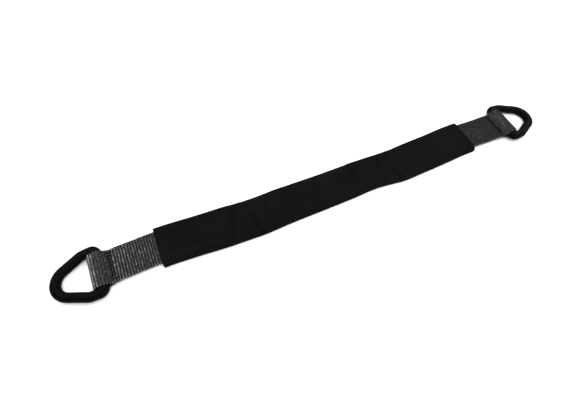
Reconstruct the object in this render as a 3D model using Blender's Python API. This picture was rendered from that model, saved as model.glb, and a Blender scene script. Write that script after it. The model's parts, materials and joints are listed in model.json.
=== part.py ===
"""Two-inch web strap with a forged delta ring sewn into each end and a sliding wear sleeve.

Metres, +Z up. X runs along the strap, Y across it, and the floor it lies on is Z = 0.
The origin is on the floor, midway between the two rings.
Run: blender --background --python part.py
"""

import math

import bmesh
import bpy
from mathutils import Vector

MM = 0.001
GAP = 0.3 * MM                      # air left between neighbouring solids

# Webbing
WEB_WIDTH = 50 * MM
PLY = 2.8 * MM
BAR_SPACING = 688 * MM              # between the axes of the two ring bars

# Forged ring: one rounded section swept round a delta outline
RING_THICK = 11.5 * MM
RING_ROUND = 4.6 * MM               # rounding of the section's edges
BAR_HALF = 5.9 * MM                 # half width of the bar that the web loops round
LEG_HALF = 6.7 * MM                 # half width of the legs and the apex
BAR_CORNER_Y = 32.6 * MM            # centreline of the leg, level with the bar
SHOULDER_U = 21.5 * MM              # distance from bar to shoulder
SHOULDER_Y = 31.3 * MM
APEX_U = 39 * MM                    # centre of the apex arc
APEX_R = 21.1 * MM                  # centreline radius of the apex arc
CORNER_R = 8.7 * MM                 # centreline radius of the bar corners
SHOULDER_R = 8.5 * MM

# Web loop round the bar
BORE_R = 6.6 * MM
LOOP_R = BORE_R + PLY
LOOP_SLACK = 3 * MM                 # room ahead of the bar, in a loop that isn't under load
LOOP_WIDTH = 49.2 * MM              # the web draws in a little between the ring's legs
BAR_Z = LOOP_R                      # the underside of the loop lies on the floor
THROAT_U = 13 * MM                  # from the bar axis back to the sewn throat
CROTCH_U = 10.2 * MM                # from the bar axis back to where the two plies part
FLEX_DEG = 40                       # how far the loop may fold at the throat, each way
LEFT_YAW = math.radians(1.5)        # the left end lies slightly crooked

# Flat sleeve, and the plies stacked inside it
SLEEVE_LENGTH = 534 * MM
SLEEVE_WIDTH = 64 * MM
SLEEVE_WALL = 1.0 * MM
THREAD_D = 0.8 * MM
THREAD_CLEAR = 0.2 * MM             # above and below a row of stitches
WEB_Z = SLEEVE_WALL + THREAD_D + 2 * THREAD_CLEAR
TAIL_Z = WEB_Z + PLY + GAP
STACK_TOP = TAIL_Z + PLY
STACK_MID = (WEB_Z + STACK_TOP) / 2
SLEEVE_HEIGHT = STACK_TOP + WEB_Z

# Sewing
LEFT_TAIL_END = -140 * MM           # where the left fold-back ends inside the sleeve
RIGHT_TAIL_END = 105 * MM
BAR_STITCH_BACK = 15.9 * MM         # from the bar axis back to the middle of the zigzag
BAR_STITCH_WIDTH = 2.4 * MM
BAR_STITCH_SPAN = 38 * MM
BAR_STITCH_STEP = 1.6 * MM          # across the web, from one needle hole to the next
LONG_STITCH_ROWS = [19 * MM, 7 * MM, -7 * MM, -19 * MM]
LONG_STITCH_START = 6 * MM          # behind the bar stitch
LONG_STITCH_END = 8 * MM            # short of the tail's cut end

THROAT_X = BAR_SPACING / 2 - THROAT_U
ARC_STEP = math.radians(7.5)
WELD = 0.01 * MM


def clear_scene():
    for obj in list(bpy.data.objects):
        bpy.data.objects.remove(obj, do_unlink=True)


def new_material(name, colour, roughness, metallic=0.0):
    material = bpy.data.materials.new(name)
    material.use_nodes = True
    shader = material.node_tree.nodes["Principled BSDF"]
    shader.inputs["Base Color"].default_value = (*colour, 1)
    shader.inputs["Roughness"].default_value = roughness
    shader.inputs["Metallic"].default_value = metallic
    material.diffuse_color = (*colour, 1)
    return material


def new_collection(name):
    collection = bpy.data.collections.new(name)
    bpy.context.scene.collection.children.link(collection)
    return collection


# ---------------------------------------------------------------- outlines

def arc(centre, radius, start, end):
    """Points on an arc, from start to end in radians, both included."""
    steps = max(2, math.ceil(abs(end - start) / ARC_STEP))
    angles = [start + (end - start) * i / steps for i in range(steps + 1)]
    return [centre + radius * Vector((math.cos(a), math.sin(a))) for a in angles]


def fillet(before, corner, after, radius):
    """The arc that rounds one corner of a polygon."""
    a = (before - corner).normalized()
    b = (after - corner).normalized()
    half = a.angle(b) / 2
    centre = corner + (a + b).normalized() * radius / math.sin(half)
    first = corner + a * radius / math.tan(half) - centre
    last = corner + b * radius / math.tan(half) - centre
    start = math.atan2(first.y, first.x)
    sweep = math.atan2(last.y, last.x) - start
    sweep = (sweep + math.pi) % (2 * math.pi) - math.pi
    return arc(centre, radius, start, start + sweep)


def rounded_polygon(corners, radii):
    points = []
    for i, (corner, radius) in enumerate(zip(corners, radii)):
        after = corners[(i + 1) % len(corners)]
        points += fillet(corners[i - 1], corner, after, radius)
    return points


def crossing(line_a, line_b):
    """Where two lines meet; a line is a point and a direction."""
    (p, d), (q, e) = line_a, line_b
    return p + d * (q - p).cross(e) / d.cross(e)


def offset_line(start, end, distance):
    """The line through two points, moved to its left by a distance."""
    direction = (end - start).normalized()
    return start + Vector((-direction.y, direction.x)) * distance, direction


def touching_angle(point, radius, side):
    """Angle at which a line from point touches a circle about the origin."""
    return math.atan2(point.y, point.x) + side * math.acos(radius / point.length)


def ring_outline(side):
    """Outer (side 1) or inner (side -1) outline; the bar lies on the Y axis, the apex at +X."""
    grow = side * LEG_HALF
    shoulder = Vector((SHOULDER_U, SHOULDER_Y))
    apex_centre = Vector((APEX_U, 0))
    angle = touching_angle(shoulder - apex_centre, APEX_R, -1)
    touch = apex_centre + APEX_R * Vector((math.cos(angle), math.sin(angle)))
    bar = (Vector((-side * BAR_HALF, 0)), Vector((0, 1)))
    flank = offset_line(Vector((0, BAR_CORNER_Y)), shoulder, grow)
    leg = offset_line(shoulder, touch, grow)
    middle = (Vector((0, 0)), Vector((1, 0)))
    half = [crossing(bar, flank), crossing(flank, leg)]
    mirrored = [Vector((p.x, -p.y)) for p in reversed(half)]
    radii = [CORNER_R + grow, SHOULDER_R + grow]
    corners = half + [crossing(leg, middle)] + mirrored
    return rounded_polygon(corners, radii + [APEX_R + grow] + radii[::-1])


def loop_outline():
    """Side view of the web's loop, from its throat at (0, 0); +X points at the ring."""
    bar = Vector((THROAT_U, BAR_Z - STACK_MID))
    front = bar + Vector((LOOP_SLACK, 0))
    relief = math.tan(math.radians(FLEX_DEG / 2))
    outside = PLY + GAP / 2

    def throat(height):
        return Vector((GAP / 2 + abs(height) * relief, height))

    def wrap(upper, lower, radius):
        start = touching_angle(upper - bar, radius, -1) % (2 * math.pi)
        end = touching_angle(lower - bar, radius, 1)
        above, below = math.pi / 2, -math.pi / 2
        return (
            arc(bar, radius, start, above) + arc(front, radius, above, below)
            + arc(bar, radius, below, end)
        )

    crotch = THROAT_U - CROTCH_U
    upper_crotch = Vector((crotch, GAP / 2))
    lower_crotch = Vector((crotch, -GAP / 2))
    outer = wrap(throat(outside), throat(-outside), LOOP_R)
    inner = wrap(upper_crotch, lower_crotch, BORE_R)[::-1]
    return (
        [throat(outside)] + outer + [throat(-outside), throat(-GAP / 2), lower_crotch]
        + inner + [upper_crotch, throat(GAP / 2)]
    )


def ply_outline(start_x, end_x, side, open_start, open_end):
    """Side view of a flat ply above (side 1) or below (side -1) the stack's middle.

    An open end meets a loop at the throat, so it is cut back by half the folding angle.
    """
    relief = math.tan(math.radians(FLEX_DEG / 2))
    near, far = side * GAP / 2, side * (PLY + GAP / 2)

    def end(x, inward, is_open, height):
        cut = GAP / 2 + abs(height) * relief if is_open else 0
        return Vector((x + inward * cut, height))

    return [
        end(start_x, 1, open_start, near), end(end_x, -1, open_end, near),
        end(end_x, -1, open_end, far), end(start_x, 1, open_start, far),
    ]


def rounded_rectangle(width, height, radius):
    x, y = width / 2, height / 2
    corners = [Vector((x, y)), Vector((-x, y)), Vector((-x, -y)), Vector((x, -y))]
    return rounded_polygon(corners, [radius] * 4)


# ---------------------------------------------------------------- objects

def new_curve(name, collection, material, dimensions):
    curve = bpy.data.curves.new(name, "CURVE")
    curve.dimensions = dimensions
    obj = bpy.data.objects.new(name, curve)
    collection.objects.link(obj)
    curve.materials.append(material)
    return obj


def add_spline(curve, points, cyclic):
    spline = curve.splines.new("POLY")
    spline.points.add(len(points) - 1)
    for slot, point in zip(spline.points, points):
        slot.co = (*point.to_3d(), 1)
    spline.use_cyclic_u = cyclic


def plate(name, collection, material, outlines, thickness, rounding=0.0):
    """A flat outline, centred on its own plane, with its edges rounded if asked."""
    obj = new_curve(name, collection, material, "2D")
    curve = obj.data
    curve.fill_mode = "BOTH"
    curve.extrude = thickness / 2 - rounding
    curve.bevel_depth = rounding
    curve.offset = -rounding
    curve.bevel_resolution = 3
    for points in outlines:
        add_spline(curve, points, True)
    return obj


def thread(name, collection, material, points):
    obj = new_curve(name, collection, material, "3D")
    curve = obj.data
    curve.bevel_depth = THREAD_D / 2
    curve.bevel_resolution = 2
    curve.use_fill_caps = True
    add_spline(curve, points, False)
    return obj


def as_mesh(obj):
    """Swap a curve object for a welded mesh object in the same place."""
    graph = bpy.context.evaluated_depsgraph_get()
    mesh = bpy.data.meshes.new_from_object(obj.evaluated_get(graph))
    work = bmesh.new()
    work.from_mesh(mesh)
    bmesh.ops.remove_doubles(work, verts=work.verts, dist=WELD)
    work.to_mesh(mesh)
    work.free()
    name, matrix, collection = obj.name, obj.matrix_world.copy(), obj.users_collection[0]
    bpy.data.objects.remove(obj, do_unlink=True)
    result = bpy.data.objects.new(name, mesh)
    mesh.name = name
    result.matrix_world = matrix
    collection.objects.link(result)
    return result


def skew_left_end(obj):
    """Cut the left end of a flat ply square to the crooked left loop."""
    for vertex in obj.data.vertices:
        if vertex.co.x < -THROAT_X / 2:
            vertex.co.x += vertex.co.z * math.tan(LEFT_YAW)


# ---------------------------------------------------------------- the strap

def build_ring(side, collection, material, heading, loop):
    ring = plate(
        f"{side}_ring", collection, material,
        [ring_outline(1), ring_outline(-1)], RING_THICK, RING_ROUND,
    )
    reach = APEX_U + APEX_R + LEG_HALF - RING_ROUND
    tilt = math.asin((BAR_Z - RING_THICK / 2) / reach)
    sign = -1 if side == "left" else 1
    ring.location = (sign * BAR_SPACING / 2, 0, BAR_Z)
    ring.rotation_euler = (0, tilt, heading)
    ring.parent = loop
    ring.matrix_parent_inverse = loop.matrix_basis.inverted()


def build_loop(side, collection, material, heading):
    loop = plate(f"{side}_loop", collection, material, [loop_outline()], LOOP_WIDTH)
    sign = -1 if side == "left" else 1
    back = Vector((math.cos(heading), math.sin(heading), 0)) * THROAT_U
    loop.location = Vector((sign * BAR_SPACING / 2, 0, STACK_MID)) - back
    loop.rotation_euler = (math.pi / 2, 0, heading)
    return loop


def build_ply(name, collection, material, outline):
    ply = plate(name, collection, material, [outline], WEB_WIDTH)
    ply.location = (0, 0, STACK_MID)
    ply.rotation_euler = (math.pi / 2, 0, 0)
    bpy.context.view_layer.update()
    return as_mesh(ply)


def build_sleeve(collection, material):
    radius = 0.48 * SLEEVE_HEIGHT
    outer = rounded_rectangle(SLEEVE_WIDTH, SLEEVE_HEIGHT, radius)
    inner = rounded_rectangle(
        SLEEVE_WIDTH - 2 * SLEEVE_WALL, SLEEVE_HEIGHT - 2 * SLEEVE_WALL, radius - SLEEVE_WALL,
    )
    sleeve = plate("sleeve", collection, material, [outer, inner], SLEEVE_LENGTH)
    sleeve.location = (0, 0, SLEEVE_HEIGHT / 2)
    sleeve.rotation_euler = (math.pi / 2, 0, math.pi / 2)


def bar_stitch_points(side, z):
    """A zigzag across the web, just behind the throat."""
    sign, yaw = (-1, LEFT_YAW) if side == "left" else (1, 0)
    middle = sign * (BAR_SPACING / 2 - BAR_STITCH_BACK)
    steps = round(BAR_STITCH_SPAN / BAR_STITCH_STEP)
    points = []
    for i in range(steps + 1):
        y = BAR_STITCH_SPAN * (i / steps - 0.5)
        x = middle + (i % 2 - 0.5) * BAR_STITCH_WIDTH - y * math.tan(yaw)
        points.append(Vector((x, y, z)))
    return points


def long_stitch_points(side, z):
    """Four rows along the fold-back, sewn as one thread that turns at each end."""
    sign = -1 if side == "left" else 1
    tail_end = LEFT_TAIL_END if side == "left" else RIGHT_TAIL_END
    start = sign * (BAR_SPACING / 2 - BAR_STITCH_BACK - LONG_STITCH_START)
    end = tail_end + sign * LONG_STITCH_END
    points = []
    for row, y in enumerate(LONG_STITCH_ROWS):
        ends = [start, end] if row % 2 == 0 else [end, start]
        points += [Vector((x, y, z)) for x in ends]
    return points


def build():
    clear_scene()
    strap = new_collection("ring_strap")
    coat = new_material("black_coat", (0.012, 0.012, 0.013), 0.45)
    web = new_material("charcoal_web", (0.045, 0.045, 0.047), 0.85)
    cloth = new_material("sleeve_cloth", (0.009, 0.009, 0.010), 0.95)
    black = new_material("black_thread", (0.004, 0.004, 0.004), 0.7)
    grey = new_material("grey_thread", (0.05, 0.05, 0.052), 0.7)

    skewed = [
        build_ply("web_main", strap, web, ply_outline(-THROAT_X, THROAT_X, -1, True, True)),
        build_ply("left_tail", strap, web, ply_outline(-THROAT_X, LEFT_TAIL_END, 1, True, False)),
    ]
    for ply in skewed:
        skew_left_end(ply)
    build_ply("right_tail", strap, web, ply_outline(RIGHT_TAIL_END, THROAT_X, 1, False, True))
    build_sleeve(strap, cloth)

    for side, heading in (("left", math.pi + LEFT_YAW), ("right", 0)):
        loop = build_loop(side, strap, web, heading)
        build_ring(side, strap, coat, heading, loop)

    reach = THREAD_CLEAR + THREAD_D / 2
    for face, z in (("top", STACK_TOP + reach), ("bottom", WEB_Z - reach)):
        for side in ("left", "right"):
            bar_points = bar_stitch_points(side, z)
            thread(f"{side}_bar_stitch_{face}", strap, black, bar_points)
            thread(f"{side}_long_stitch_{face}", strap, grey, long_stitch_points(side, z))


build()
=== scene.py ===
"""Looks of the ring-ended web strap: ribbed webbing, sewing, cloth sleeve and forged rings.

Everything is in metres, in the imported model's frame: X along the strap, Y across it, Z up.
"""

import json
import math

import bmesh
import bpy
import numpy as np
from mathutils import Matrix, Vector


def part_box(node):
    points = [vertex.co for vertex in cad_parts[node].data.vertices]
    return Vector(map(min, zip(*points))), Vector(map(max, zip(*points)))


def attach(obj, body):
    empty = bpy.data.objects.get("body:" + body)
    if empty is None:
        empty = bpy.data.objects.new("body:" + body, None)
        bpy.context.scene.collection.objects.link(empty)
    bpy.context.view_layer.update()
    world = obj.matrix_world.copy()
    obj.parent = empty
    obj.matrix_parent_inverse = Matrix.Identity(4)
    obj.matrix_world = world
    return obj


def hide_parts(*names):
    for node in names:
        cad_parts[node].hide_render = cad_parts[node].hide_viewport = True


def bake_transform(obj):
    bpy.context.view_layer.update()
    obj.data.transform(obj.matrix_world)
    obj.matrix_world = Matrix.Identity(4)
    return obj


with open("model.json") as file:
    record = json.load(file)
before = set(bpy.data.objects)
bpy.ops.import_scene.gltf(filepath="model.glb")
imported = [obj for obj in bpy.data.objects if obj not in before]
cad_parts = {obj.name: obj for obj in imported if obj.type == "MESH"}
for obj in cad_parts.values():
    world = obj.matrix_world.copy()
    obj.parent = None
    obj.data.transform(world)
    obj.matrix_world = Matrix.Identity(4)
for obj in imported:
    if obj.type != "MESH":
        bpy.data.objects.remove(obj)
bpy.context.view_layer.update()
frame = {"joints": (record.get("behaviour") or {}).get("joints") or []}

MM = 0.001
SIDES = ("left", "right")
JOINTS = {joint["name"]: joint for joint in frame["joints"]}

# Camera
CAMERA_AT = Vector((-0.20078, -0.25321, 0.50255))
CAMERA_FORWARD = Vector((0.23682, 0.44486, -0.86372))
CAMERA_UP = Vector((0.33332, 0.79785, 0.50232))
CAMERA_LENS = 23.29

# Webbing
WEB_HALF = 24.6 * MM                # half width between the selvedges' hollows
WEB_FACE = 0.95 * MM                # from the ply's middle to the hollows between ribs
RIB_PITCH = {"left": 3.85 * MM, "right": 3.2 * MM}
RIB = 0.62 * MM                     # how tall the strongest ribs stand
SELVEDGE = 0.9 * MM                 # how far a rib stands out at the selvedge
YARN = 1.6 * MM                     # width of one column of warp yarns
GROOVE = 0.14 * MM                  # how deep the gaps between columns are
THIN_EDGE, THIN_OVER = 0.28 * MM, 1.5 * MM     # the web gets thinner towards its selvedges
LOOP_PAINTED_LIGHT = {"left": 0.17, "right": 0.02}      # how much lighter the loops are painted: painted highlight
DETAIL_FROM = 205 * MM              # |x| beyond which the weave can come out of the sleeve
FINE_STEP = 0.48 * MM               # mesh rows where the weave can be seen
COARSE_STEP = 4 * MM                # and where it can't
LOOP_FROM, LOOP_OVER = 14 * MM, 3 * MM         # behind the bar, where the loop's flatter ribs and its painted highlight start
NOSE_HIGHLIGHT, NOSE_HIGHLIGHT_OVER = 9 * MM, 5 * MM    # ahead of the bar, where the loop's painted highlight is strongest

# The web's middle line, seen from the side, measured from each ring's bar
PLY_LOW = 3.6 * MM                  # height of the through ply's middle
PLY_HIGH = 6.7 * MM                 # height of the fold-back's middle
WRAP_R = 8.0 * MM                   # radius of the ply's middle round the bar
SLACK = 5.6 * MM                    # loose room ahead of the bar
SETTLE = 15 * MM                    # behind the bar, where the two plies lie flat again
RISE = {"left": 1.2 * MM, "right": 2.2 * MM}   # how far the throat stands off the floor
RISE_OVER = 30 * MM
TURN_FROM, TURN_OVER = 18 * MM, 10 * MM        # where the web turns to face the ring

# How the strap lies on the floor: out of line at the sleeve's mouths, and back in the middle
DRIFT_END = {"left": 5.3 * MM, "right": 4.2 * MM}
DRIFT_AT = 262 * MM
DRIFT_OVER = {"in": 60 * MM, "out": 84 * MM}
DRIFT_MIDDLE = -1.2 * MM
DRIFT_STOP, DRIFT_STOP_OVER = 340 * MM, 20 * MM   # it ends before the loops

# Black row across each throat
BAR_ROW_U = 12.4 * MM               # behind the bar axis
BAR_ROW_WIDTH = {"left": 4.6 * MM, "right": 3.4 * MM}
BAR_ROW_SKEW = {"left": math.radians(2.5), "right": 0.0}
BAR_ROW_SPAN = {"left": (-20 * MM, 19.5 * MM), "right": (-15 * MM, 20 * MM)}
BAR_STEP = 5.0 * MM
BAR_SLANT = 1.1 * MM                # how far one stroke leans along the row
BACK_TACK = 6 * MM
BLACK_THREAD = 0.9 * MM             # radius
BLACK_BASE = 0.3 * MM               # over the web's face
BLACK_LIFT, BLACK_SINK = 0.45 * MM, 1.5 * MM   # a stroke's arch, and its needle holes
BLACK_PULL, BLACK_PULL_OVER = 0.5 * MM, 1.9 * MM   # how deep it pulls the web in

# Grey rows along each fold-back
LONG_START_U = 20 * MM              # behind the bar axis
LONG_ROWS = (-19 * MM, -7 * MM, 7 * MM, 19 * MM)
LONG_STITCH = 4.2 * MM
GREY_THREAD = 0.3 * MM              # radius
GREY_BASE = 0.2 * MM
GREY_LIFT, GREY_SINK = 0.15 * MM, 0.4 * MM
GREY_PULL, GREY_PULL_OVER = 0.16 * MM, 0.7 * MM

# Sleeve
SLEEVE_HALF = 32.0 * MM             # half its width where it isn't drawn in
SLEEVE_WALL = 0.9 * MM
SLEEVE_EDGE = 3.4 * MM              # how round the folded edges are
SLEEVE_RISE = 0.6 * MM              # how far the cloth stands over its solid's height
SLEEVE_DIP = 2.2 * MM               # how far it sinks where only one ply lies in it
DIP_CLEAR = 6 * MM                  # room left for the fold-backs' ends when it slides
DIP_OVER = 38 * MM
STACK_TOP = 8.5 * MM                # the fold-back's top, which the cloth never goes under
PLY_TOP = 6.1 * MM                  # the same over the single ply
FLOOR_GAP = 0.15 * MM
SLEEVE_ROWS, SLEEVE_ACROSS, SLEEVE_EDGE_ROWS = 420, 52, 9   # mesh points along, across, round
CREASES = [                         # where, how deep, how wide, how slanted
    (-157 * MM, 1.8 * MM, 3.5 * MM, 0.30),
    (-128 * MM, 1.8 * MM, 3.0 * MM, -0.15),
    (-108 * MM, 0.8 * MM, 5.0 * MM, 0.5),
    (-22 * MM, 0.8 * MM, 8.0 * MM, 0.3),
    (52 * MM, 0.9 * MM, 6.0 * MM, -0.4),
    (92 * MM, 1.4 * MM, 4.0 * MM, 0.25),
    (112 * MM, 1.8 * MM, 4.0 * MM, -0.1),
    (190 * MM, 0.5 * MM, 8.0 * MM, 0.4),
    (-215 * MM, 0.4 * MM, 10.0 * MM, -0.5),
]

# Rings, with the bar on the Y axis and the crown at +X
RING_HALF = 5.75 * MM               # half the forging's thickness
BAR_HALF = 5.9 * MM                 # half width of the bar
LEG_HALF = 6.7 * MM                 # half width of the legs and the crown
BAR_CORNER_Y = 32.6 * MM
SHOULDER = (21.5 * MM, 31.3 * MM)
CROWN_U = 39 * MM
CROWN_R = 21.1 * MM
CORNER_R = 8.7 * MM
SHOULDER_R = 8.5 * MM
CROWN_ON_FLOOR = 62.2 * MM          # from the bar to where the crown meets the floor
CHAMFER = 1.54                      # 1 is a diamond section, 2 a square one
CRISP = 16                          # how sharp the section's corners are
PARTING, PARTING_OVER = 0.14 * MM, 0.55 * MM   # how far the parting line stands out, how wide
UNEVEN = 0.10 * MM                  # how far the forging's faces wander
RING_STEP = 0.7 * MM                # mesh size along the ring
RING_AROUND = 48                    # points round its section
WELD = 0.001 * MM                   # closes the ring's ends on each other

# Studio lamps: where, how big, how strong
LAMPS = {
    "key": ((-0.7, 1.1, 1.5), 1.0, 22),
    "top": ((0.2, -0.1, 2.2), 1.6, 30),
    "front": ((0.2, -1.7, 1.2), 1.2, 20),
    "side": ((1.9, 0.5, 1.4), 1.0, 12),
}
FLOOR_SIZE = 8
FLOOR_Z = -0.1 * MM
WORLD_STRENGTH = 0.72


# ---------------------------------------------------------------- helpers

def smoothstep(x):
    """0 up to 0, 1 from 1, and level at both."""
    x = np.clip(x, 0, 1)
    return x * x * (3 - 2 * x)


def bump(x, centre, width):
    """1 at the centre, falling to 1/e a width away."""
    return np.exp(-(((x - centre) / width) ** 2))


def drift(x):
    """How far the strap's centre line lies from the X axis."""
    x = np.asarray(x, float)
    end = np.where(x < 0, DRIFT_END["left"], DRIFT_END["right"])
    over = np.where(np.abs(x) < DRIFT_AT, DRIFT_OVER["in"], DRIFT_OVER["out"])
    before_loop = smoothstep((DRIFT_STOP - np.abs(x)) / DRIFT_STOP_OVER)
    return (DRIFT_MIDDLE + end * bump(np.abs(x), DRIFT_AT, over)) * before_loop


class Noise:
    """Smooth repeatable noise over two coordinates, from -1 to 1."""

    SIZE = 64

    def __init__(self, seed):
        self.grid = np.random.default_rng(seed).uniform(-1, 1, (self.SIZE, self.SIZE))

    def __call__(self, x, y):
        x, y = np.broadcast_arrays(np.asarray(x, float), np.asarray(y, float))
        i, j = np.floor(x).astype(int), np.floor(y).astype(int)
        a, b = smoothstep(x - i), smoothstep(y - j)
        g, n = self.grid, self.SIZE
        low = g[i % n, j % n] * (1 - a) + g[(i + 1) % n, j % n] * a
        high = g[i % n, (j + 1) % n] * (1 - a) + g[(i + 1) % n, (j + 1) % n] * a
        return low * (1 - b) + high * b


def link(name, mesh, material=None):
    obj = bpy.data.objects.new(name, mesh)
    bpy.context.scene.collection.objects.link(obj)
    if material is not None:
        mesh.materials.append(material)
    return obj


def outward(mesh, weld=None):
    """Turn every face outwards, after welding points closer than a distance."""
    shape = bmesh.new()
    shape.from_mesh(mesh)
    if weld is not None:
        bmesh.ops.remove_doubles(shape, verts=shape.verts, dist=weld)
    bmesh.ops.recalc_face_normals(shape, faces=shape.faces)
    shape.to_mesh(mesh)
    shape.free()
    mesh.shade_smooth()


def tube_mesh(name, rings, capped):
    """A mesh through rings of points (rows, round, 3); each ring is closed."""
    rows, around = rings.shape[:2]
    index = np.arange(rows * around).reshape(rows, around)
    nxt = np.roll(index, -1, axis=1)
    quads = np.stack([index[:-1], nxt[:-1], nxt[1:], index[1:]], axis=-1).reshape(-1, 4)
    faces = quads.tolist()
    if capped:
        faces += [index[0][::-1].tolist(), index[-1].tolist()]
    mesh = bpy.data.meshes.new(name)
    mesh.from_pydata(rings.reshape(-1, 3).tolist(), [], faces)
    mesh.validate()
    outward(mesh)
    return mesh


def point_values(mesh, name, values):
    """Store one number a point, for the material to read."""
    attribute = mesh.attributes.new(name, "FLOAT", "POINT")
    attribute.data.foreach_set("value", np.asarray(values, np.float32).ravel())


def evaluated_mesh(obj):
    graph = bpy.context.evaluated_depsgraph_get()
    return bpy.data.meshes.new_from_object(obj.evaluated_get(graph))


# ---------------------------------------------------------------- materials

class Nodes:
    """A material's node tree, with short calls for the nodes used here."""

    def __init__(self, name, roughness, **sockets):
        self.material = bpy.data.materials.new(name)
        self.material.use_nodes = True
        self.tree = self.material.node_tree
        self.shader = self.tree.nodes["Principled BSDF"]
        self.shader.inputs["Roughness"].default_value = roughness
        for socket, value in sockets.items():
            self.shader.inputs[socket.replace("_", " ")].default_value = value

    def add(self, kind, links=None, **settings):
        node = self.tree.nodes.new(kind)
        for key, value in settings.items():
            if hasattr(node, key):
                setattr(node, key, value)
            else:
                node.inputs[key.replace("_", " ")].default_value = value
        for socket, source in (links or {}).items():
            self.tree.links.new(source, node.inputs[socket])
        return node

    def place(self, scale):
        """Object coordinates stretched by a scale for each axis."""
        where = self.add("ShaderNodeTexCoord").outputs["Object"]
        return self.add("ShaderNodeMapping", {"Vector": where}, Scale=scale).outputs[0]

    def noise(self, vector, scale, detail=2.0, roughness=0.5):
        node = self.add(
            "ShaderNodeTexNoise", {"Vector": vector}, Scale=scale, Detail=detail,
        )
        node.inputs["Roughness"].default_value = roughness
        return node.outputs["Fac"]

    def attribute(self, name):
        return self.add("ShaderNodeAttribute", attribute_name=name).outputs["Fac"]

    def math(self, operation, a, b):
        node = self.add("ShaderNodeMath", operation=operation)
        for socket, value in zip(node.inputs, (a, b)):
            if isinstance(value, (int, float)):
                socket.default_value = value
            else:
                self.tree.links.new(value, socket)
        return node.outputs[0]

    def ramp(self, fac, stops):
        node = self.add("ShaderNodeValToRGB", {"Fac": fac})
        elements = node.color_ramp.elements
        while len(elements) < len(stops):
            elements.new(0.5)
        for element, (position, value) in zip(elements, stops):
            colour = (value, value, value * 1.02) if isinstance(value, float) else value
            element.position = position
            element.color = (*colour, 1)
        return node.outputs["Color"]

    def colour(self, source):
        self.tree.links.new(source, self.shader.inputs["Base Color"])

    def roughness(self, source, low, high):
        node = self.add("ShaderNodeMapRange", {"Value": source}, To_Min=low, To_Max=high)
        self.tree.links.new(node.outputs[0], self.shader.inputs["Roughness"])

    def bump(self, source, strength, distance, below=None):
        links = {"Height": source}
        if below is not None:
            links["Normal"] = below
        node = self.add("ShaderNodeBump", links, Strength=strength, Distance=distance)
        self.tree.links.new(node.outputs[0], self.shader.inputs["Normal"])
        return node.outputs[0]


def webbing_material():
    """Charcoal polyester: rib crowns painted lighter and hollows darker (painted highlight and
    shade), filaments along the warp.
    """
    nodes = Nodes("charcoal_webbing", 0.6, Specular_IOR_Level=0.08)
    filaments = nodes.noise(nodes.place((260, 2600, 900)), 1.0, 3.0, 0.6)
    mottle = nodes.noise(nodes.place((240, 300, 300)), 1.0, 2.0, 0.5)
    # crown holds, point by point, the painted highlight on the rib crowns and the painted shade in
    # their hollows
    crown = nodes.attribute("crown")
    mix = nodes.math("ADD", nodes.math("MULTIPLY", crown, 0.72),
                     nodes.math("MULTIPLY", filaments, 0.28))
    mix = nodes.math("ADD", mix, nodes.math("MULTIPLY", mottle, 0.22))
    nodes.colour(nodes.ramp(mix, [
        (0.25, 0.003), (0.42, 0.012), (0.62, 0.036), (0.82, 0.10), (1.0, 0.23),
    ]))
    nodes.roughness(filaments, 0.45, 0.75)
    nodes.bump(filaments, 0.5, 0.0003)
    return nodes.material


def thread_material(name, dark, light):
    """Twisted bonded thread."""
    nodes = Nodes(name, 0.5, Specular_IOR_Level=0.08)
    twist = nodes.noise(nodes.place((1500, 1500, 1500)), 1.0, 2.0)
    nodes.colour(nodes.ramp(twist, [(0.3, dark), (0.7, light)]))
    nodes.bump(twist, 0.5, 0.0002)
    return nodes.material


def sleeve_material():
    """Matte black woven nylon with a faint lengthwise grain and a little lint, its creases painted
    darker and its ridges lighter (painted shade and highlight).
    """
    nodes = Nodes("sleeve_cloth", 0.85, Specular_IOR_Level=0.05)
    where = nodes.add("ShaderNodeTexCoord").outputs["Object"]
    warp = nodes.add("ShaderNodeTexWave", {"Vector": where}, wave_type="BANDS",
                     bands_direction="X", Scale=320.0, Distortion=0.6, Detail=1.0)
    weft = nodes.add("ShaderNodeTexWave", {"Vector": where}, wave_type="BANDS",
                     bands_direction="Y", Scale=320.0, Distortion=0.6, Detail=1.0)
    weave = nodes.math("MULTIPLY", warp.outputs["Fac"], weft.outputs["Fac"])
    cloudy = nodes.noise(nodes.place((14, 40, 40)), 1.0, 4.0, 0.6)
    fleck = nodes.noise(nodes.place((700, 900, 900)), 1.0, 2.0, 0.7)
    mix = nodes.math("ADD", nodes.math("MULTIPLY", weave, 0.25),
                     nodes.math("MULTIPLY", cloudy, 0.45))
    mix = nodes.math("ADD", mix, nodes.math("MULTIPLY", fleck, 0.3))
    # painted shade in the creases and painted highlight on the ridges, from the fold attribute
    mix = nodes.math("ADD", mix, nodes.math("MULTIPLY", nodes.attribute("fold"), 0.16))
    nodes.colour(nodes.ramp(mix, [(0.25, 0.0012), (0.55, 0.0028), (0.85, 0.0064)]))
    nodes.roughness(fleck, 0.75, 0.95)
    nodes.bump(weave, 0.35, 0.00025)
    return nodes.material


def ring_material():
    """Black powder coat over a forging: orange peel, and the forging's waviness below it."""
    nodes = Nodes("ring_powder_coat", 0.42, Specular_IOR_Level=0.022)
    orange_peel = nodes.noise(nodes.place((900, 900, 900)), 1.0, 2.0, 0.5)
    forging = nodes.noise(nodes.place((120, 120, 120)), 1.0, 4.0, 0.6)
    mix = nodes.math("ADD", nodes.math("MULTIPLY", orange_peel, 0.5),
                     nodes.math("MULTIPLY", forging, 0.5))
    nodes.colour(nodes.ramp(mix, [(0.3, 0.0007), (0.7, 0.0016)]))
    nodes.roughness(forging, 0.34, 0.5)
    fine = nodes.bump(orange_peel, 0.22, 0.0003)
    nodes.bump(forging, 0.18, 0.001, fine)
    return nodes.material


# ---------------------------------------------------------------- webbing

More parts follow.
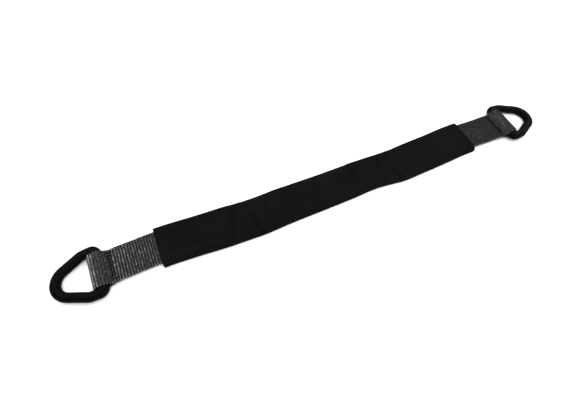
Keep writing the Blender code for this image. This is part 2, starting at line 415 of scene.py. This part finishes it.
class Web:
    """One end of the web: the through ply, the loop round the bar, and the fold-back.

    Its middle line is a table of arc length, distance ahead of the bar (u) and height (z).
    """

    def __init__(self, side):
        self.side = side
        self.sign = -1 if side == "left" else 1
        self.bar = Vector(JOINTS[f"{side}_ring_swing"]["pos_m"])
        self.throat = Vector(JOINTS[f"{side}_loop_flex"]["pos_m"])
        ahead = self.bar - self.throat
        self.yaw = math.atan2(ahead.y * self.sign, ahead.x * self.sign)
        self.trace()

    def rise(self, u):
        """How far both plies stand above their height inside the sleeve."""
        return RISE[self.side] * smoothstep((u + SETTLE + RISE_OVER) / RISE_OVER)

    def trace(self):
        step = 0.1 * MM
        low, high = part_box(f"{self.side}_tail")
        tail_x = high.x if self.side == "left" else low.x
        flat = np.arange(-abs(self.bar.x), -SETTLE, step)
        settle = self.hermite((-SETTLE, PLY_LOW + self.rise(-SETTLE)), (0, self.bar.z - WRAP_R))
        turn = np.linspace(-math.pi / 2, math.pi / 2, 260)
        front = np.stack([SLACK + WRAP_R * np.cos(turn), self.bar.z + WRAP_R * np.sin(turn)], 1)
        over = self.hermite((0, self.bar.z + WRAP_R), (-SETTLE, PLY_HIGH + self.rise(-SETTLE)))
        back = np.arange(-SETTLE, self.sign * tail_x - abs(self.bar.x), -step)
        line = np.concatenate([
            np.stack([flat, PLY_LOW + self.rise(flat)], 1), settle, front, over,
            np.stack([back, PLY_HIGH + self.rise(back)], 1),
        ])
        gap = np.linalg.norm(np.diff(line, axis=0), axis=1)
        keep = np.concatenate([[True], gap > 1e-7])
        line = line[keep]
        self.u, self.z = line.T
        self.s = np.concatenate([[0], np.cumsum(np.linalg.norm(np.diff(line, axis=0), axis=1))])
        self.apex = self.s[self.u.argmax()]

    @staticmethod
    def hermite(start, end):
        """A level start and a level end, joined by one smooth slope."""
        t = np.linspace(0, 1, 200)
        (u0, z0), (u1, z1) = start, end
        return np.stack([u0 + (u1 - u0) * t, z0 + (z1 - z0) * smoothstep(t)], 1)

    def arc_at(self, u, face):
        """Arc length where the upper or lower run passes a distance u ahead of the bar."""
        part = self.s > self.apex if face == "top" else self.s <= self.apex
        us, ss = self.u[part], self.s[part]
        order = us.argsort()
        return np.interp(u, us[order], ss[order])

    def points(self, s, v, height):
        """World points at arc length s, distance v across, height off the middle line."""
        u, z = np.interp(s, self.s, self.u), np.interp(s, self.s, self.z)
        reach = 0.4 * MM
        du = np.interp(s + reach, self.s, self.u) - np.interp(s - reach, self.s, self.u)
        dz = np.interp(s + reach, self.s, self.z) - np.interp(s - reach, self.s, self.z)
        length = np.maximum(np.hypot(du, dz), 1e-9)
        u, z = u + height * dz / length, z - height * du / length
        x = self.sign * (abs(self.bar.x) + u) - self.throat.x
        turn = self.yaw * smoothstep((u + TURN_FROM) / TURN_OVER)
        cos, sin = np.cos(turn), np.sin(turn)
        x, y = self.throat.x + x * cos - v * sin, x * sin + v * cos
        return np.stack([x, y + drift(x), z], axis=-1)

    def rows(self):
        """Arc lengths of the mesh rows: fine where the weave can be seen."""
        hidden = -(abs(self.bar.x) - DETAIL_FROM)
        first, last = self.arc_at(hidden, "bottom"), self.arc_at(hidden, "top")
        fine = np.arange(first, last, FINE_STEP)
        before = np.linspace(0, first, max(2, int(first / COARSE_STEP)))[:-1]
        rest = self.s[-1] - last
        after = np.linspace(last, self.s[-1], max(2, int(rest / COARSE_STEP)))
        return np.concatenate([before, fine, after])

    def strength(self, s):
        """How tall the ribs stand along the web, from 0 to 1."""
        u = np.interp(s, self.s, self.u)
        top = s > self.apex
        if self.side == "left":
            straight = 0.95 - 0.2 * smoothstep((-u - 30 * MM) / (40 * MM))
            on_loop = 0.36 + 0.64 * smoothstep((u - 5 * MM) / (3 * MM))
        else:
            straight = 0.36
            on_loop = 0.32 + 0.5 * bump(u, -5 * MM, 7 * MM)
        share = smoothstep((u + LOOP_FROM) / LOOP_OVER)
        shown = straight * (1 - share) + on_loop * share
        return np.where(top, shown, 0.8)

    def painted_loop_light(self, s):
        """How much lighter the loop's yarns are painted: a painted highlight over the loop,
        strongest at its nose.
        """
        u = np.interp(s, self.s, self.u)
        # painted highlight: lighter over the loop's top run, and most at its nose
        wear_and_light = smoothstep((u + LOOP_FROM) / LOOP_OVER) + 0.6 * bump(u, NOSE_HIGHLIGHT, NOSE_HIGHLIGHT_OVER)
        return LOOP_PAINTED_LIGHT[self.side] * wear_and_light * (s > self.apex - 6 * MM)

    def mesh(self):
        noise, fine_noise, patch = Noise(11 + self.sign), Noise(23 + self.sign), Noise(37)
        s = self.rows()
        detailed = (np.gradient(s) < 0.9 * COARSE_STEP)[:, None]
        columns = round(2 * WEB_HALF / YARN) * 2
        v = np.linspace(-WEB_HALF, WEB_HALF, columns + 1)
        yarn = (np.arange(columns + 1) / 2)[None, :]
        on_yarn = np.where(np.arange(columns + 1) % 2 == 1, 1.0, 0.0)[None, :]
        cycle = (s - self.apex)[:, None] / RIB_PITCH[self.side]
        calm = smoothstep((np.interp(s, self.s, self.u)[:, None] + 16 * MM) / (4 * MM))
        stagger = 0.08 if self.side == "left" else 0.45 - 0.37 * calm
        phase = cycle + stagger * noise(yarn * 0.4, cycle * 0.16)
        phase = phase + 0.06 * fine_noise(yarn * 1.3 + 0.5, cycle * 0.9)
        strength = self.strength(s)[:, None]
        wear_and_light = 0.5 + 0.5 * patch(yarn * 0.55, np.round(phase) * 7.3)
        strength = strength * (0.74 + 0.26 * wear_and_light)
        groove = GROOVE * (1 - on_yarn)

        def relief(offset):
            wave = 0.5 + 0.5 * np.cos(2 * math.pi * (phase + offset))
            return np.where(detailed, wave ** 1.6 * strength, 0.4)

        outer, inner = relief(0.0), relief(0.5)
        bead = np.where(detailed, 0.5 + 0.5 * np.cos(2 * math.pi * phase), 0.5)
        fleck = 0.5 + 0.5 * fine_noise(yarn * 0.9 + 3.5, phase * 1.9)
        # painted light on the outer face: crowns lighter and hollows darker (painted highlight and
        # shade), varied rib to rib, random bright flecks as painted glints, gaps between yarn
        # columns darker
        shade = outer * (0.72 + 0.3 * wear_and_light) + 0.4 * fleck ** 4 - 0.1 * (1 - on_yarn)
        pull = self.sewn(s[:, None], v[None, :])
        # painted shade where the sewing pulls the face in, plus the loops' painted highlight
        shade = shade - 0.15 * pull / MM + self.painted_loop_light(s)[:, None]
        outer_h = WEB_FACE + outer * RIB - groove - pull
        inner_h = -(WEB_FACE + inner * 0.4 * RIB - groove)
        taper = THIN_EDGE * smoothstep((np.abs(v) - WEB_HALF + THIN_OVER) / THIN_OVER)[None, :]
        outer_h, inner_h = outer_h - taper, inner_h + taper
        edge_angle = np.radians([50, 0, -50])
        rings, crowns = [], []
        for column in range(columns + 1):
            rings.append(self.points(s, v[column], outer_h[:, column]))
            crowns.append(shade[:, column])
        for side, column in ((1, columns), (-1, 0)):
            if side == -1:
                for back in range(columns, -1, -1):
                    rings.append(self.points(s, v[back], inner_h[:, back]))
                    # the underside's ribs, painted lighter on their crowns in the same way
                    crowns.append(inner[:, back] * 0.8 + 0.1)
            middle = (outer_h[:, column] + inner_h[:, column]) / 2
            half = (outer_h[:, column] - inner_h[:, column]) / 2
            stand = SELVEDGE * bead[:, column] + 0.2 * MM
            for angle in edge_angle if side == 1 else -edge_angle:
                out = side * (WEB_HALF + stand * math.cos(angle))
                rings.append(self.points(s, out, middle + half * math.sin(angle) * 0.8))
                # painted highlight on the selvedge's beads
                crowns.append(bead[:, column] * (0.9 + 0.5 * wear_and_light[:, column]))
        mesh = tube_mesh(f"web_{self.side}", np.stack(rings, axis=1), True)
        point_values(mesh, "crown", np.stack(crowns, axis=1))
        return mesh

    def sewn(self, s, v):
        """How deep the sewing pulls the outer face in."""
        depth = np.zeros(np.broadcast(s, v).shape)
        for face in ("top", "bottom"):
            row = self.arc_at(-BAR_ROW_U, face)
            depth = depth + BLACK_PULL * bump(s, row, BLACK_PULL_OVER) * (np.abs(v) < 21 * MM)
            start = self.arc_at(-LONG_START_U, face)
            beyond = s > start if face == "top" else s < start
            for y in LONG_ROWS:
                depth = depth + GREY_PULL * bump(v, y, GREY_PULL_OVER) * beyond
        return depth


# ---------------------------------------------------------------- sewing

def thread_mesh(name, path, radius, material):
    """A smooth tube through a path of world points."""
    curve = bpy.data.curves.new(name, "CURVE")
    curve.dimensions = "3D"
    curve.bevel_depth = radius
    curve.bevel_resolution = 2
    curve.resolution_u = 3
    curve.use_fill_caps = True
    spline = curve.splines.new("BEZIER")
    spline.bezier_points.add(len(path) - 1)
    for knot, place in zip(spline.bezier_points, path):
        knot.co = place
        knot.handle_left_type = knot.handle_right_type = "AUTO"
    holder = bpy.data.objects.new(name + "_path", curve)
    bpy.context.scene.collection.objects.link(holder)
    mesh = evaluated_mesh(holder)
    bpy.data.objects.remove(holder)
    mesh.shade_smooth()
    return link(name, mesh, material)


def stitched(holes, lift, sink):
    """Needle holes (s, v), with the thread's arch between each two of them."""
    path = []
    for (s0, v0), (s1, v1) in zip(holes, holes[1:]):
        path.append((s0, v0, -sink))
        path.append(((s0 * 3 + s1) / 4, (v0 * 3 + v1) / 4, lift))
        path.append(((s0 + s1 * 3) / 4, (v0 + v1 * 3) / 4, lift))
    path.append((*holes[-1], -sink))
    return path


def on_web(web, path, face_height):
    s, v, height = np.array(path).T
    return [Vector(p) for p in web.points(s, v, height + face_height)]


def bar_stitch(web, face, material):
    """The heavy row across the throat: strokes on the face, returns inside the ply."""
    low, high = BAR_ROW_SPAN[web.side]
    steps = round((high - low) / BAR_STEP)
    skew = math.tan(BAR_ROW_SKEW[web.side])
    half, lean = BAR_ROW_WIDTH[web.side] / 2, BAR_SLANT / 2

    def hole(u, y):
        return web.arc_at(-BAR_ROW_U + u + skew * y, face), y

    strokes = [(hole(-BACK_TACK, high + 0.5 * MM), hole(-half, high))]
    for i in range(steps + 1):
        y = high + (low - high) * i / steps
        strokes.append((hole(-half, y + lean), hole(half, y - lean)))
    strokes.append((hole(-half, low), hole(-BACK_TACK, low - 0.5 * MM)))
    path = []
    for stroke in strokes:
        path += stitched(stroke, BLACK_LIFT, BLACK_SINK)
    path = on_web(web, path, WEB_FACE + BLACK_BASE)
    return thread_mesh(f"bar_stitch_{web.side}_{face}", path, BLACK_THREAD, material)


def long_stitch(web, face, y, number, material):
    """One lockstitch row along the fold-back."""
    low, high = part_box(f"{web.side}_long_stitch_top")
    end_x = high.x if web.side == "left" else low.x
    start = web.arc_at(-LONG_START_U, face)
    end = web.arc_at(web.sign * end_x - abs(web.bar.x), face)
    count = max(2, round(abs(end - start) / LONG_STITCH))
    holes = [(start + (end - start) * i / count, y) for i in range(count + 1)]
    path = on_web(web, stitched(holes, GREY_LIFT, GREY_SINK), WEB_FACE + GREY_BASE)
    name = f"long_stitch_{web.side}_{face}_{number}"
    return thread_mesh(name, path, GREY_THREAD, material)


# ---------------------------------------------------------------- sleeve

def sleeve_half(x):
    """Half the sleeve's width along its length, drawn in where it is pulled up."""
    drawn_in = 1.3 * MM * bump(x, 30 * MM, 90 * MM) + 1.6 * MM * bump(x, 75 * MM, 30 * MM)
    return SLEEVE_HALF - drawn_in + 0.7 * MM * bump(x, -170 * MM, 25 * MM)


def sleeve_centre(x):
    """The sleeve's centre line: the strap's, pushed over at the ends of the fold-backs."""
    pushed = 2.3 * MM * bump(x, -118 * MM, 32 * MM) + 1.9 * MM * bump(x, 126 * MM, 24 * MM)
    return drift(x) - pushed + 0.9 * MM * bump(x, 62 * MM, 25 * MM)


def sleeve_mesh():
    """A flattened tube that drapes over the plies and bows a little on the floor."""
    low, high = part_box("sleeve")
    half_x, height = (high.x - low.x) / 2, high.z - low.z
    ripple, fine = Noise(5), Noise(8)
    x = np.linspace(-half_x, half_x, SLEEVE_ROWS)
    across, edge = SLEEVE_ACROSS, SLEEVE_EDGE_ROWS
    side = np.radians(np.linspace(90, -90, edge))[1:-1]
    flat = np.linspace(-1, 1, across)
    on_face = np.concatenate([flat, np.ones(edge - 2), flat[::-1], -np.ones(edge - 2)])
    past = np.concatenate([np.zeros(across), np.cos(side), np.zeros(across), -np.cos(side)])
    upness = np.concatenate([np.ones(across), np.sin(side), -np.ones(across), -np.sin(side)])
    half = sleeve_half(x)[:, None]
    xx = np.broadcast_to(x[:, None], (len(x), len(upness)))
    yy = on_face * (half - SLEEVE_EDGE) + past * SLEEVE_EDGE
    slide = JOINTS["sleeve_slide"]["range_m"][1] + DIP_CLEAR
    tail_left, tail_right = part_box("left_tail")[1].x + slide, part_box("right_tail")[0].x - slide
    one_ply = smoothstep((x - tail_left) / DIP_OVER) * smoothstep((tail_right - x) / DIP_OVER)
    top = height + SLEEVE_RISE - SLEEVE_DIP * one_ply
    crown = 1 - np.clip(np.abs(yy) / half, 0, 1) ** 12
    level = top[:, None] * (0.55 + 0.45 * crown)
    smooth_level = level
    level = level + 0.45 * MM * ripple(xx / (30 * MM), yy / (34 * MM)) * crown
    level = level + 0.14 * MM * fine(xx / (8 * MM), yy / (13 * MM))
    near_ridge = bump(yy, -22 * MM, 5 * MM) * smoothstep((-165 * MM - xx) / (40 * MM))
    level = level + 0.8 * MM * near_ridge * (upness > 0)
    for place, depth, width, slant in CREASES:
        at = place + slant * yy
        fade = 0.35 + 0.65 * ripple(place / MM + yy / (22 * MM), 0.5) ** 2
        level = level - depth * bump(xx, at, width) * fade
        level = level + 0.5 * depth * bump(xx, at + 2.2 * width, width * 1.3) * fade * crown
    web_below = (STACK_TOP + (PLY_TOP - STACK_TOP) * one_ply)[:, None] + SLEEVE_WALL
    over_web = np.abs(yy) < WEB_HALF + SLEEVE_EDGE
    # painted shade and highlight: how far the top sits below or above its smooth shape, which the
    # material paints darker in creases and lighter on ridges
    fold = (level - smooth_level) / MM * (upness > 0)
    level = np.where(over_web, np.maximum(level, web_below), level)
    middle = level / 2
    zz = np.where(upness > 0, middle + (level - middle) * upness,
                  middle + (middle - FLOOR_GAP) * upness)
    wander = 0.5 * MM * ripple(x / (45 * MM) + 9.5, 0.5)[:, None]
    yy = yy + sleeve_centre(x)[:, None] + wander
    mesh = tube_mesh("sleeve_shell", np.stack([xx, yy, zz], axis=-1), False)
    point_values(mesh, "fold", fold)
    return mesh


def build_sleeve(material):
    shell = link("sleeve_shell", sleeve_mesh(), material)
    solid = shell.modifiers.new("wall", "SOLIDIFY")
    solid.thickness = SLEEVE_WALL
    solid.offset = -1
    mesh = evaluated_mesh(shell)
    shell.modifiers.clear()
    shell.data = mesh
    shell.data.shade_smooth()
    shell.data.set_sharp_from_angle(angle=math.radians(50))
    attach(shell, "sleeve")
    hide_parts("sleeve")
    return shell


# ---------------------------------------------------------------- rings

def ring_centreline(step):
    """Even points round the middle of the ring."""
    ahead = math.atan2(SHOULDER[1], SHOULDER[0] - CROWN_U)
    reach = math.hypot(SHOULDER[1], SHOULDER[0] - CROWN_U)
    touch = ahead - math.acos(CROWN_R / reach)
    turn = np.linspace(touch, 0, 60)
    nose = np.stack([CROWN_U + CROWN_R * np.cos(turn), CROWN_R * np.sin(turn)], 1)

    def rounded(before, corner, after, radius):
        a, b = (before - corner), (after - corner)
        a, b = a / np.linalg.norm(a), b / np.linalg.norm(b)
        half = math.acos(a @ b) / 2
        first, last = corner + a * radius / math.tan(half), corner + b * radius / math.tan(half)
        centre = corner + (a + b) / np.linalg.norm(a + b) * radius / math.sin(half)
        t = np.linspace(0, 1, 24)[:, None]
        chord = first * (1 - t) + last * t - centre
        return centre + chord / np.linalg.norm(chord, axis=1)[:, None] * radius

    bar, corner, shoulder = np.array([0, 0]), np.array([0, BAR_CORNER_Y]), np.array(SHOULDER)
    half = np.concatenate([
        bar[None], rounded(bar, corner, shoulder, CORNER_R),
        rounded(corner, shoulder, nose[0], SHOULDER_R), nose,
    ])
    whole = np.concatenate([half, half[-2:0:-1] * (1, -1), half[:1]])
    along = np.concatenate([[0], np.cumsum(np.linalg.norm(np.diff(whole, axis=0), axis=1))])
    even = np.linspace(0, along[-1], round(along[-1] / step) + 1)[:-1]
    return np.stack([np.interp(even, along, whole[:, k]) for k in (0, 1)], 1)


def ring_mesh(side):
    uneven = Noise(51 if side == "left" else 52)
    line = ring_centreline(RING_STEP)
    for _ in range(3):
        line = (np.roll(line, 1, 0) + 2 * line + np.roll(line, -1, 0)) / 4
    along = np.roll(line, -1, 0) - np.roll(line, 1, 0)
    along = along / np.linalg.norm(along, axis=1)[:, None]
    out = np.stack([-along[:, 1], along[:, 0]], 1)
    wide = BAR_HALF + (LEG_HALF - BAR_HALF) * smoothstep(line[:, 0] / (6 * MM))
    angle = np.linspace(0, 2 * math.pi, RING_AROUND, endpoint=False)
    cos, sin = np.cos(angle)[None, :], np.sin(angle)[None, :]
    across = np.abs(cos) / wide[:, None]
    over = np.abs(sin) / RING_HALF * np.ones_like(wide)[:, None]
    corner = (across + over) / CHAMFER
    size = (across ** CRISP + over ** CRISP + corner ** CRISP) ** (-1 / CRISP)
    w, z = size * cos, size * sin
    place = np.arange(len(line))[:, None] * RING_STEP / (9 * MM)
    proud = UNEVEN * uneven(place, angle[None, :] * 1.3)
    proud = proud + PARTING * bump(z, 0, PARTING_OVER) * (np.abs(cos) > 0.7)
    w, z = w + proud * cos, z + proud * sin * 0.5
    plane = line[:, None, :] + w[..., None] * out[:, None, :]
    rings = np.concatenate([plane, z[..., None]], axis=-1)
    mesh = tube_mesh(f"forged_ring_{side}", np.concatenate([rings, rings[:1]]), False)
    outward(mesh, weld=WELD)
    return mesh


def build_ring(side, material):
    """The forged ring: flat faces with broken edges, a parting line and slight unevenness."""
    bar = Vector(JOINTS[f"{side}_ring_swing"]["pos_m"])
    ahead = bar - Vector(JOINTS[f"{side}_loop_flex"]["pos_m"])
    tilt = math.asin((bar.z - RING_HALF) / CROWN_ON_FLOOR)
    turn = Matrix.Rotation(math.atan2(ahead.y, ahead.x), 4, "Z") @ Matrix.Rotation(tilt, 4, "Y")
    mesh = ring_mesh(side)
    mesh.transform(Matrix.Translation(bar) @ turn)
    ring = link(f"forged_ring_{side}", mesh, material)
    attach(ring, f"{side}_ring")
    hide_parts(f"{side}_ring")
    return ring


# ---------------------------------------------------------------- assembly

def build_web(side, material, black, grey):
    web = Web(side)
    body = link(f"web_{side}", web.mesh(), material)
    pieces = [body]
    for face in ("top", "bottom"):
        stitch = bar_stitch(web, face, black)
        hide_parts(f"{side}_bar_stitch_{face}")
        pieces.append(stitch)
        rows = [long_stitch(web, face, y, n, grey) for n, y in enumerate(LONG_ROWS)]
        for row in rows:
            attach(row, "strap")
        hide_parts(f"{side}_long_stitch_{face}")
    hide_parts(f"{side}_loop", f"{side}_tail")
    if side == "left":
        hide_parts("web_main")
    ahead = (web.bar - web.throat).normalized()
    ahead.z = 0
    for piece in pieces:
        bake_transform(piece)


def build_stage():
    bpy.ops.mesh.primitive_plane_add(size=FLOOR_SIZE, location=(0, 0, FLOOR_Z))
    floor = bpy.context.object
    floor.name = "floor"
    nodes = Nodes("floor_white", 0.9, Specular_IOR_Level=0.1)
    nodes.shader.inputs["Base Color"].default_value = (0.92, 0.92, 0.92, 1)
    floor.data.materials.append(nodes.material)

    world = bpy.data.worlds.new("studio")
    bpy.context.scene.world = world
    world.use_nodes = True
    background = world.node_tree.nodes["Background"]
    background.inputs["Color"].default_value = (1, 1, 1, 1)
    background.inputs["Strength"].default_value = WORLD_STRENGTH

    for name, (at, size, power) in LAMPS.items():
        lamp = bpy.data.lights.new(name, "AREA")
        lamp.size = size
        lamp.energy = power
        holder = bpy.data.objects.new(name, lamp)
        holder.location = at
        holder.rotation_euler = (-Vector(at)).to_track_quat("-Z", "Y").to_euler()
        bpy.context.scene.collection.objects.link(holder)


def build_camera():
    data = bpy.data.cameras.new("camera")
    data.sensor_width = 36
    data.lens = CAMERA_LENS
    data.clip_start = 0.01
    camera = bpy.data.objects.new("camera", data)
    right = CAMERA_FORWARD.cross(CAMERA_UP).normalized()
    up = right.cross(CAMERA_FORWARD).normalized()
    axes = Matrix((right, up, -CAMERA_FORWARD.normalized())).transposed()
    camera.matrix_world = Matrix.Translation(CAMERA_AT) @ axes.to_4x4()
    bpy.context.scene.collection.objects.link(camera)
    bpy.context.scene.camera = camera


def main():
    build_camera()
    build_stage()
    bpy.context.scene.view_settings.view_transform = "Standard"
    webbing = webbing_material()
    black = thread_material("black_thread", 0.0008, 0.0024)
    grey = thread_material("grey_thread", 0.012, 0.034)
    coat = ring_material()
    for side in SIDES:
        build_ring(side, coat)
        build_web(side, webbing, black, grey)
    build_sleeve(sleeve_material())


main()
